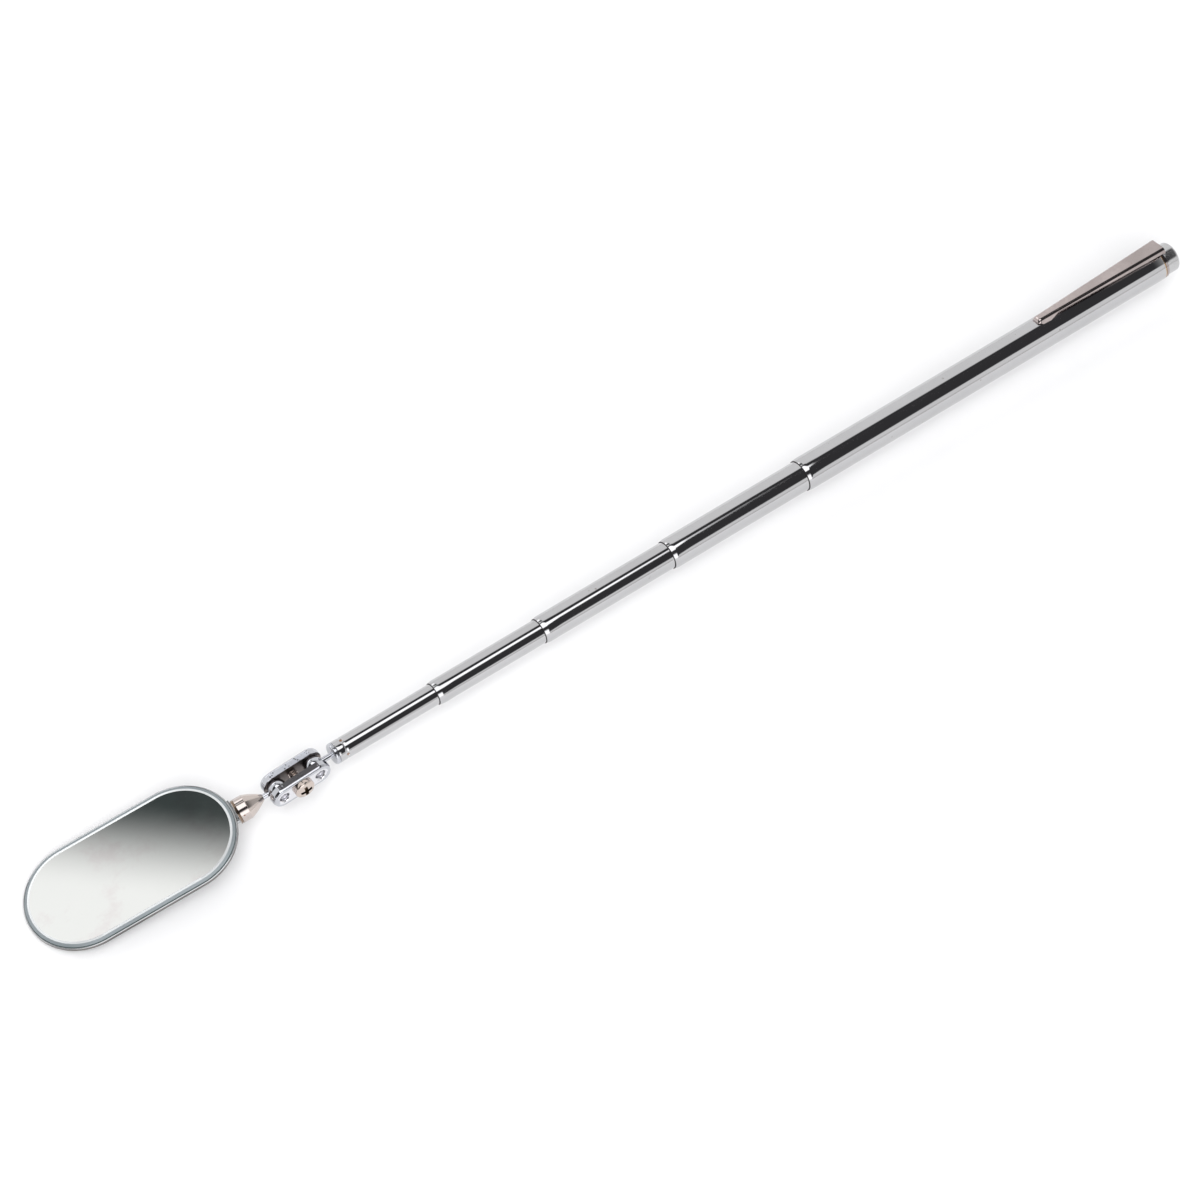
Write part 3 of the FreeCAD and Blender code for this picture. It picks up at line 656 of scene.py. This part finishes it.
nose, plug_rear = x_range("tube_plug")
flange_back = x_range("tube_5")[0] - 0.05
plug_radius = RADIUS[THINNEST]
plug = [(nose, PLUG_BORE), (nose, 1.6)] + arc(nose + 0.45, plug_radius - 0.45, 0.45, 180, 90, 10)
for groove in (nose + 0.55, nose + 0.72):
    plug += [(groove - 0.05, plug_radius), (groove - 0.02, plug_radius - 0.05)]
    plug += [(groove + 0.02, plug_radius - 0.05), (groove + 0.05, plug_radius)]
plug += [(flange_back - 0.02, plug_radius), (flange_back, plug_radius - 0.02), (flange_back, PLUG_SEAT)]
plug += [(plug_rear, PLUG_SEAT), (plug_rear, PLUG_BORE)]
plug_mesh = lathe("tube_plug", plug, 176)
piece("tube_plug_skin", plug_mesh, [chrome_joint], "tube_5_section", ("tube_plug",))

ball_a = Vector(JOINTS["shaft_ball_swing"]["pos_m"])
ball_b = Vector(JOINTS["mirror_ball_swing"]["pos_m"])
clamp_side = Vector(JOINTS["shaft_ball_swing"]["axis"])


def ball(node, centre):
    """A ball, rougher and painted lighter as a painted highlight on the two caps that show through the holes of
    the plates.
    """
    profile = arc(0.0, 0.0, BALL_RADIUS, 180, 0, 64)
    profile[0], profile[-1] = (-BALL_RADIUS, 0.0), (BALL_RADIUS, 0.0)
    mesh = lathe(node, profile, 96)
    for poly in mesh.polygons:
        poly.material_index = 1 if abs(poly.normal.dot(clamp_side)) > 0.86 else 0
    finishes = [chrome_joint, hole_highlight]
    piece(node + "_skin", mesh, finishes, node, (node,), Matrix.Translation(centre))


ball("shaft_ball", ball_a)
ball("mirror_ball", ball_b)


def rod_start():
    """The end of a rod that fits the ball, from its middle outwards."""
    seat = BALL_RADIUS + 0.02
    turns = [math.asin(ROD_RADIUS / seat) * i / 4 for i in range(5)]
    return [(seat * math.cos(a), seat * math.sin(a)) for a in turns[1:]]


stud_far = x_range("shaft_stud")[1] - ball_a.x / MM
stud = [(BALL_RADIUS + 0.02, 0.0)] + rod_start()
stud += [(stud_far - 0.08, ROD_RADIUS), (stud_far, ROD_RADIUS - 0.08), (stud_far, 0.0)]
stud_mesh = lathe("shaft_stud", stud, 64)
stud_place = Matrix.Translation(ball_a)
piece("shaft_stud_skin", stud_mesh, [chrome_joint], "tube_5_section", ("shaft_stud",), stud_place)


def frame_matrix(origin, x_axis, z_axis):
    x = Vector(x_axis).normalized()
    z = Vector(z_axis).normalized()
    y = z.cross(x).normalized()
    z = x.cross(y)
    made = Matrix((x, y, z)).transposed().to_4x4()
    made.translation = origin
    return made


spin_axis = Vector(JOINTS["mirror_spin"]["axis"])
head_up = Vector(JOINTS["mirror_ball_tilt"]["axis"])
head_place = frame_matrix(ball_b, -spin_axis, head_up)
clamp_x = (ball_a - ball_b).normalized()
clamp_place = frame_matrix(ball_a, clamp_x, clamp_x.cross(clamp_side))

HEAD_START, HEAD_END, STUD_HEAD = 5.70, 6.40, 1.25
rod = [(BALL_RADIUS + 0.02, 0.0)] + rod_start() + [(HEAD_START, ROD_RADIUS), (HEAD_START, STUD_HEAD - 0.05)]
rod += [(HEAD_START + 0.05, STUD_HEAD), (HEAD_END - 0.05, STUD_HEAD), (HEAD_END, STUD_HEAD - 0.05)]
rod += [(HEAD_END, 0.68), (HEAD_END, 0.0)]
rod_mesh = lathe("mirror_stud", rod, 64)
neck_place = head_place @ Matrix.Rotation(math.pi, 4, "Z")
piece("mirror_stud_skin", rod_mesh, [chrome_joint], "mirror_stud", ("mirror_stud",), neck_place)

# ---------------------------------------------------------------- clamp

PLATE_LENGTH, PLATE_WIDTH, HALF_GAP, THICK = 13.5, 5.0, 1.15, 1.70
SPACING = 8.5
OUTER = HALF_GAP + THICK
DISH = 1.35


def plate_profile():
    """The (inset, z) section of a plate's edge: a sheared wall that rolls over before the outer face."""
    profile = [(0.3, 0.0), (0.06, 0.0), (0.0, 0.06)]
    profile += [(0.0, 1.02), (0.008, 1.10), (0.025, 1.18), (0.05, 1.26), (0.085, 1.34), (0.125, 1.41)]
    for i in range(1, 11):
        a = math.radians(9.0 * i)
        profile.append((0.46 - 0.335 * math.cos(a), 1.41 + 0.29 * math.sin(a)))
    return profile + [(0.8, THICK)]


def seat_cutter():
    """What is cut for a ball: its seat, and a dished hole out to the plate's outer face."""
    radius = BALL_RADIUS + 0.03
    profile = [(0.5, 0.0), (0.5, 1.967)]
    for i in range(11):
        a = math.radians(75 - 4.55 * i)
        profile.append((radius * math.cos(a), radius * math.sin(a)))
    profile += [(OUTER - 0.42, 1.0), (OUTER - 0.32, 1.03), (OUTER - 0.16, 1.14)]
    profile += [(OUTER - 0.05, 1.28), (OUTER, DISH), (OUTER + 0.2, 1.6), (OUTER + 0.2, 0.0)]
    return profile


def plate_mesh(side, screw_hole):
    """A plate with its rounded face outwards, a seat and a dished hole for each ball, and the screw hole."""
    blank = slot_solid("plate", plate_profile(), PLATE_LENGTH, PLATE_WIDTH, -SPACING / 2)
    upright = Matrix.Rotation(math.radians(-90 * side), 4, "X")
    blank.transform(Matrix.Translation((0, side * HALF_GAP * MM, 0)) @ upright)
    seat = seat_cutter()
    hole = [(0.5, 0.0), (0.5, screw_hole), (OUTER + 0.3, screw_hole), (OUTER + 0.3, 0.0)]
    steps = []
    for x, cutter in ((0.0, seat), (-SPACING, seat), (-SPACING / 2, hole)):
        tool = lathe("cutter", cutter, 72)
        tool.transform(Matrix.Translation((x * MM, 0, 0)) @ Matrix.Rotation(math.radians(90 * side), 4, "Z"))
        steps.append(("DIFFERENCE", tool))
    mesh = carve(blank, steps)
    for poly in mesh.polygons:
        c = poly.center / MM
        off_hole = min(math.hypot(c.x, c.z), math.hypot(c.x + SPACING, c.z))
        # the inner faces in the gap get painted shade
        if abs(poly.normal.y) > 0.9 and abs(c.y) < HALF_GAP + 0.1:
            poly.material_index = 2
        # the dish walls round the holes get the painted highlight
        elif abs(c.y) > HALF_GAP + 0.45 and off_hole < DISH + 0.02:
            poly.material_index = 3
        # the edge walls get the plate's edge finish, which is painted shade on the near plate
        elif abs(c.z) > 2.46 and -SPACING - 0.4 < c.x < 0.4:
            poly.material_index = 1
    return mesh


for node, side, hole, wall in (
    # the near plate's edge walls are painted dark as painted shade
    ("clamp_plate_near", -1, 1.06, flecked_edge_painted_shade),
    ("clamp_plate_far", 1, 1.02, sheared),
):
    finishes = [chrome_joint, wall, seat_shade, hole_highlight]
    piece(node + "_skin", plate_mesh(side, hole), finishes, "clamp", (node,), clamp_place, 28)


def screw_mesh():
    """A pan-head screw along +x with a rolled thread, its origin on the clamp's middle plane."""
    head_start, head_top, tail = OUTER + 0.02, 4.27, -3.10
    head_radius, rim = 2.15, head_top - 0.72
    shank, crest, root, turns = 0.98, 0.99, 0.84, 12
    profile = [(tail, 0.0), (tail, 0.75), (tail + 0.25, shank)]
    start, end = tail + 0.3, head_start - 0.35
    pitch = (end - start) / turns
    for i in range(turns):
        x = start + i * pitch
        profile += [(x, root), (x + 0.40 * pitch, crest), (x + 0.55 * pitch, crest), (x + 0.95 * pitch, root)]
    profile += [(end, shank), (head_start, shank), (head_start, head_radius - 0.05)]
    profile += [(head_start + 0.05, head_radius), (rim, head_radius)]
    for i in range(1, 18):
        a = math.radians(5.0 * i)
        profile.append((rim + (head_top - rim) * math.sin(a), head_radius * math.cos(a)))
    profile.append((head_top, 0.0))
    half, span, recess = 0.36, 1.28, head_top - 0.8
    arms = []
    for y, z in ((half, span), (span, half)):
        outline = [(-y, -z), (y, -z), (y, z), (-y, z)]
        arms.append(("DIFFERENCE", prism_mesh("arm", outline, recess, head_top + 0.2)))
    mesh = carve(lathe("screw_body", profile, 96), arms)
    for poly in mesh.polygons:
        c = poly.center / MM
        near, far = sorted((abs(c.y), abs(c.z)))
        # the walls of the cross recess get painted shade
        if recess - 0.02 < c.x and near < half + 0.01 and far < span + 0.01:
            poly.material_index = 1
    return mesh


screw_turn = Matrix.Rotation(math.radians(-90), 4, "Z")
screw_place = clamp_place @ Matrix.Translation((-SPACING / 2 * MM, 0, 0)) @ screw_turn
finishes = [screw_metal, recess_painted_shade]
piece("clamp_screw_skin", screw_mesh(), finishes, "clamp_screw", ("clamp_screw",), screw_place, 35)

# ---------------------------------------------------------------- swivel neck

CONE_START, CONE_LENGTH, CONE_TIP = 3.42, 3.58, 0.72
NECK_RADIUS, NECK_BORE, NECK_CAVITY, NECK_END = 2.60, 0.64, 1.40, 9.5
CAVITY_START = 5.60

neck = [(CONE_START - 0.12, NECK_BORE)] + arc(CONE_START, CONE_TIP - 0.10, 0.10, 190, 110, 3)[1:]
for i in range(1, 20):
    t = i / 20
    neck.append((CONE_START + CONE_LENGTH * t, CONE_TIP + CONE_LENGTH * (0.68 * t - 0.16 * t * t)))
neck += [(6.97, NECK_RADIUS - 0.032), (7.0, NECK_RADIUS - 0.015), (7.04, NECK_RADIUS)]
cone_end = len(neck) - 2
# a shallow groove runs round the base, painted dark brown as painted shade
neck += [(8.9, NECK_RADIUS), (8.95, NECK_RADIUS - 0.03), (9.0, NECK_RADIUS - 0.1)]
neck += [(9.06, NECK_RADIUS - 0.12), (9.12, NECK_RADIUS - 0.1)]
neck += arc(NECK_END - 0.12, NECK_RADIUS - 0.12, 0.12, 90, 0, 5)
neck += [(NECK_END, NECK_CAVITY), (CAVITY_START, NECK_CAVITY), (CAVITY_START, NECK_BORE)]


def neck_slot(i, x):
    """Satin on the cone, dark brown painted shade in the groove, bright elsewhere."""
    if i < cone_end:
        return 1
    return 2 if 8.85 < x < 9.15 else 0


neck_mesh = lathe("neck", neck, 128, [neck_slot(i, x) for i, (x, r) in enumerate(neck)])
piece("neck_skin", neck_mesh, [nickel, satin, recess_painted_shade], "mirror_head", ("neck",), neck_place, 16)
for node, finish in (("swivel_plug", steel), ("backing_pad", felt)):
    data = frame["nodes"][node].data
    data.materials.clear()
    data.materials.append(finish)
cad_piece("back_bracket", "mirror_head", plating, 0.08)

# ---------------------------------------------------------------- mirror head

HEAD_LENGTH, HEAD_WIDTH, CENTRE = 45.4, 24.0, -32.5
FACE, TOP, BOTTOM, SHEET = 2.60, 2.15, 1.10, 0.30
CORNER, GLASS_THICK = 0.40, 1.0

cup = [(SHEET + 0.35, BOTTOM + SHEET), (SHEET + 0.1, BOTTOM + SHEET + 0.03), (SHEET, BOTTOM + SHEET + 0.15)]
cup += [(SHEET, TOP - 0.10), (SHEET - 0.03, TOP - 0.03), (SHEET - 0.10, TOP), (0.10, TOP), (0.03, TOP - 0.03)]
cup += [(0.0, TOP - 0.10), (0.0, BOTTOM + CORNER)]
for i in range(1, 9):
    a = math.radians(11.25 * i)
    cup.append((CORNER * (1 - math.cos(a)), BOTTOM + CORNER * (1 - math.sin(a))))
cup.append((1.2, BOTTOM))
cup = [cup[-1]] + cup[-2::-1]
cup_mesh = slot_solid("mirror_frame", cup, HEAD_LENGTH, HEAD_WIDTH, CENTRE)
for poly in cup_mesh.polygons:
    sideways = abs(poly.normal.z) < 0.95
    poly.material_index = 1 if sideways and poly.center.z < (TOP - 0.12) * MM else 0
finishes = [plating, frame_edge]
piece("mirror_frame_skin", cup_mesh, finishes, "mirror_head", ("mirror_frame",), head_place)

edge = SHEET + 0.04
bottom = FACE - GLASS_THICK
glass = [(edge + 0.1, bottom), (edge, bottom + 0.1), (edge, FACE - 0.34), (edge + 0.04, FACE - 0.30)]
glass += [(edge + 0.62, FACE - 0.085), (edge + 1.08, FACE - 0.004), (edge + 1.12, FACE)]
glass_mesh = slot_solid("mirror_glass", glass, HEAD_LENGTH, HEAD_WIDTH, CENTRE, [2, 2, 2, 1, 3, 0], 0, 2)
finishes = [silver, bevel_glass, edge_glass, bevel_inner]
piece("mirror_glass_skin", glass_mesh, finishes, "mirror_head", ("mirror_glass",), head_place, 10)

# ---------------------------------------------------------------- stage, camera and light

low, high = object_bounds()
floor_mesh = bpy.data.meshes.new("floor")
reach = 3.0
corners = [(-reach, -reach, 0), (reach, -reach, 0), (reach, reach, 0), (-reach, reach, 0)]
floor_mesh.from_pydata(corners, [], [(0, 1, 2, 3)])
floor = bpy.data.objects.new("floor", floor_mesh)
floor.location = (0, 0, low.z - 0.2 * MM)
bpy.context.scene.collection.objects.link(floor)
floor_finish = bpy.data.materials.new("floor")
floor_finish.use_nodes = True
g = Graph(floor_finish.node_tree)
paper = g.noise(g.node("ShaderNodeTexCoord").outputs["Object"], 40.0, 4.0)
tint = g.mix(g.line(paper, 0.3, 0.7, 0.0, 1.0), rgb(0.86, 0.86, 0.865), rgb(0.88, 0.88, 0.885))
settings = {"Base Color": tint, "Roughness": 0.9, "Specular IOR Level": 0.1}
shader = g.node("ShaderNodeBsdfPrincipled", inputs=settings)
floor_finish.node_tree.links.new(shader.outputs[0], g.node("ShaderNodeOutputMaterial").inputs[0])
floor_mesh.materials.append(floor_finish)

AZIMUTH, ELEVATION, DISTANCE = math.radians(35.8), math.radians(55.7), 0.7726
right = Vector((math.cos(AZIMUTH), -math.sin(AZIMUTH), 0))
front_side = Vector((-math.sin(AZIMUTH), -math.cos(AZIMUTH), 0))
back = front_side * math.cos(ELEVATION) + Vector((0, 0, math.sin(ELEVATION)))
up = back.cross(right)
# aimed just left of and below the barrel's mouth, so that the whole length fits the frame
anchor = Vector((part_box("barrel_tube")[0].x, 0, 0))
eye = anchor - right * 0.04170 - up * 0.02585 + back * DISTANCE
camera_data = bpy.data.cameras.new("camera")
camera_data.sensor_width = 36.0
camera_data.lens = 111.0
camera_data.clip_start = 0.01
camera = bpy.data.objects.new("camera", camera_data)
turn = Matrix((right, up, back)).transposed().to_4x4()
turn.translation = eye
camera.matrix_world = turn
bpy.context.scene.collection.objects.link(camera)
bpy.context.scene.camera = camera


def area_light(name, place, aim, size, power):
    """A square lamp that lights the object and is not seen in its reflections."""
    data = bpy.data.lights.new(name, "AREA")
    data.size = size
    data.energy = power
    made = bpy.data.objects.new(name, data)
    made.location = place
    made.rotation_euler = (Vector(aim) - Vector(place)).to_track_quat("-Z", "Y").to_euler()
    made.visible_glossy = False
    made.visible_camera = False
    bpy.context.scene.collection.objects.link(made)


middle = (low + high) / 2
LAMP_ELEVATION, LAMP_DISTANCE, LAMP_SIZE, LAMP_POWER = math.radians(51.0), 1.4, 1.0, 15.5
lamp_side = front_side * math.cos(LAMP_ELEVATION) + Vector((0, 0, math.sin(LAMP_ELEVATION)))
area_light("key", middle + lamp_side * LAMP_DISTANCE, middle, LAMP_SIZE, LAMP_POWER)

world = bpy.data.worlds.new("studio")
bpy.context.scene.world = world
world.use_nodes = True
g = Graph(world.node_tree)
split = g.node("ShaderNodeSeparateXYZ", (g.node("ShaderNodeTexCoord").outputs["Generated"],))
dx, dy, dz = split.outputs
# angle round the shaft's direction: 0 at the horizon in front, 90 overhead, 180 at the horizon behind
theta = g.math("MULTIPLY", g.math("ARCTAN2", dz, g.math("MULTIPLY", dy, -1.0)), 180 / math.pi)
low_edge = g.line(dx, 0.25, 0.45, 14.5, 33.3)
high_edge = g.line(dx, 0.267, 0.44, 114.2, 107.0)
above = g.step(g.math("SUBTRACT", theta, low_edge), -2.5, 2.5)
dark = g.math("MULTIPLY", above, g.step(g.math("SUBTRACT", theta, high_edge), -3.0, 3.0, 1.0, 0.0))
dark = g.math("MULTIPLY", dark, g.step(dx, 0.50, 0.68, 1.0, 0.42))
# a soft dark screen behind, which only the mirror and the joint see
slant = g.math("ADD", theta, g.math("MULTIPLY", dx, 60.5))
screen = g.math("MULTIPLY", g.step(slant, 121.35, 123.45), g.step(dx, 0.10, 0.16, 1.0, 0.0))
screen = g.math("MULTIPLY", screen, g.step(theta, 132.0, 136.0, 1.0, 0.0))
# a long strip light overhead
strip_low = g.line(dx, 0.25, 0.385, 64.0, 82.0)
strip_high = g.line(dx, 0.05, 0.27, 107.0, 92.0)
strip = g.step(g.math("SUBTRACT", theta, strip_low), 0.0, 4.0)
strip = g.math("MULTIPLY", strip, g.step(g.math("SUBTRACT", theta, strip_high), -3.0, 1.0, 1.0, 0.0))
strip = g.math("MULTIPLY", strip, g.step(dx, 0.335, 0.382, 1.0, 0.0))
strip = g.math("MULTIPLY", strip, g.step(dx, -0.45, -0.36))


def between(value, low, high, rise, fall):
    """1 from low to high, with soft ends."""
    return g.math("MULTIPLY", g.step(value, low, low + rise), g.step(value, high - fall, high, 1.0, 0.0))


def lamp(low_theta, high_theta, high_x, soft):
    """A soft-edged lamp ahead of the shaft, between two angles round it."""
    across = between(theta, low_theta, high_theta, soft, soft)
    return g.math("MULTIPLY", across, between(dx, -0.5, high_x, 0.08, 0.06))


front_lamp = lamp(-4.0, 46.0, 0.19, 16.0)
rear_lamp = lamp(137.0, 153.0, 0.10, 3.0)
lamps = g.math("MAXIMUM", strip, g.math("MAXIMUM", front_lamp, rear_lamp))
colour = g.mix(dark, rgb(1.0, 1.0, 1.0), rgb(0.050, 0.049, 0.052))
colour = g.mix(screen, colour, rgb(0.046, 0.056, 0.056))
# the low horizon is a little greyer and warmer
horizon = g.math("MULTIPLY", g.step(theta, -6.0, 1.0), g.step(theta, 4.0, 14.0, 1.0, 0.0))
colour = g.mix(g.math("MULTIPLY", horizon, 0.30), colour, rgb(0.42, 0.38, 0.35))
colour = g.mix(lamps, colour, rgb(2.0, 2.0, 2.02))
sky = g.node("ShaderNodeBackground", (colour, 1.0))
world.node_tree.links.new(sky.outputs[0], g.node("ShaderNodeOutputWorld").inputs[0])

bpy.context.scene.view_settings.view_transform = "Standard"
bpy.context.scene.view_settings.look = "None"
